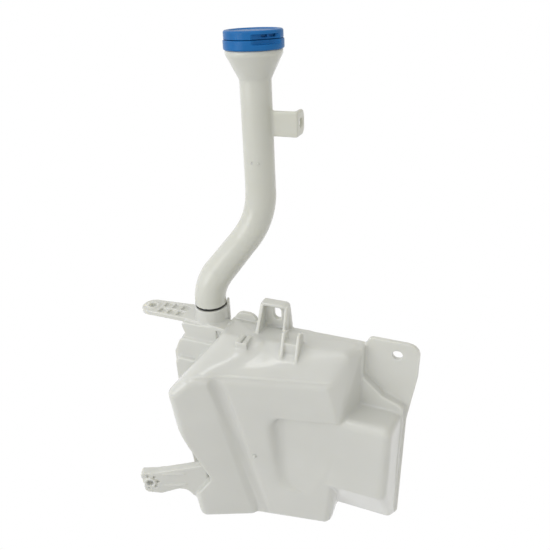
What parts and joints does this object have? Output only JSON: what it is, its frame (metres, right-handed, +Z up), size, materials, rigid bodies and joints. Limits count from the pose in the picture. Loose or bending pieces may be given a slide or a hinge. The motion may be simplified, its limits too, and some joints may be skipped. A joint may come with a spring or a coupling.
{
  "type": "washer fluid reservoir",
  "caption": "Blow-moulded washer fluid tank with bolt tabs and arms, an S-bent filler pipe seated on a seal ring, and a flip cap on a living hinge.",
  "frame": {"origin": "on the flat base, in the tank's parting plane", "axes": "+X to the right along the parting plane, +Y to the back, +Z up along the filler pipe's upright run"},
  "size_m": [0.2625, 0.1361, 0.4327],
  "materials": {
    "tank_plastic": "milky, translucent, satin",
    "pipe_plastic": "milky, translucent, satin",
    "seal_rubber": "matte",
    "cap_plastic": "satin"
  },
  "bodies": {
    "reservoir": {"tank": "tank_plastic", "filler_pipe": "pipe_plastic", "pipe_seal": "seal_rubber", "cap_ring": "cap_plastic"},
    "lid": {"cap_lid": "cap_plastic"}
  },
  "joints": [
    {"name": "lid_hinge", "type": "hinge", "parent": "reservoir", "child": "lid", "pos_m": [-0.03539, 0.04229, 0.42643], "axis": [-0.6428, -0.766, 0], "range_deg": [0, 130]}
  ]
}
